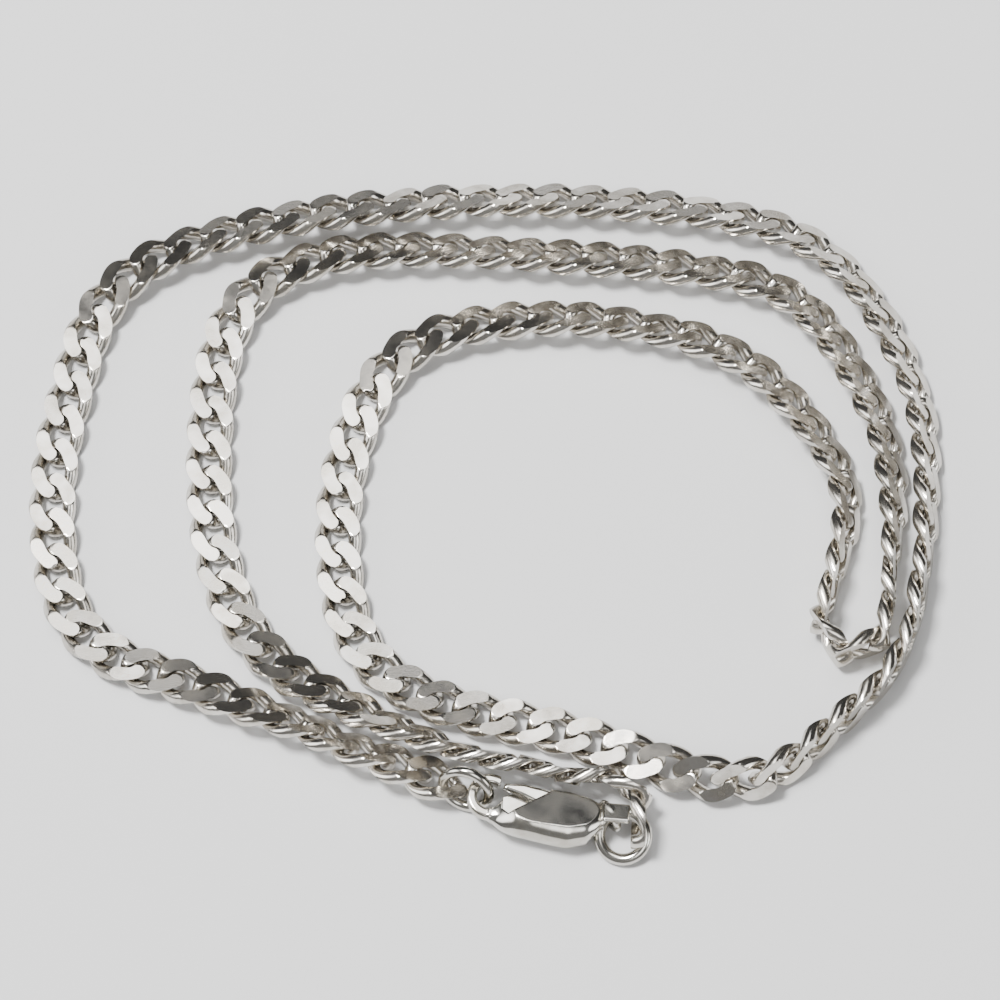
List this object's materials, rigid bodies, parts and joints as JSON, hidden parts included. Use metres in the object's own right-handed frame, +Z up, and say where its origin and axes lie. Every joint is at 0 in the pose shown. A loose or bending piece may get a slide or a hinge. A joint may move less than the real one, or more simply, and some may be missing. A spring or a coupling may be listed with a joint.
{
  "type": "curb chain necklace",
  "caption": "Flat curb link necklace in polished silver, fastened with a clawed clasp and laid down in three open loops.",
  "frame": {"origin": "on the surface the necklace lies on, under the middle of its bounding box", "axes": "+Z up from the surface, +X along the longer way of the laid loops, with the clasp on the -Y side"},
  "size_m": [0.0774, 0.0618, 0.0045],
  "materials": {
    "chain_silver": "polished",
    "clasp_silver": "polished"
  },
  "bodies": {
    "necklace": {"chain_outer": "chain_silver", "chain_inner": "chain_silver", "hook_ring": "chain_silver", "tail_ring": "chain_silver", "clasp_body": "clasp_silver", "clasp_pin": "chain_silver"},
    "lever": {"clasp_lever": "clasp_silver"}
  },
  "joints": [
    {"name": "lever_swing", "type": "hinge", "parent": "necklace", "child": "lever", "pos_m": [0.00562, -0.02607, 0.00186], "axis": [0.0453, -0.0032, 0.999], "range_deg": [0, 22], "stiffness_Nm_per_rad": 0.002, "springref_deg": -17.19}
  ]
}
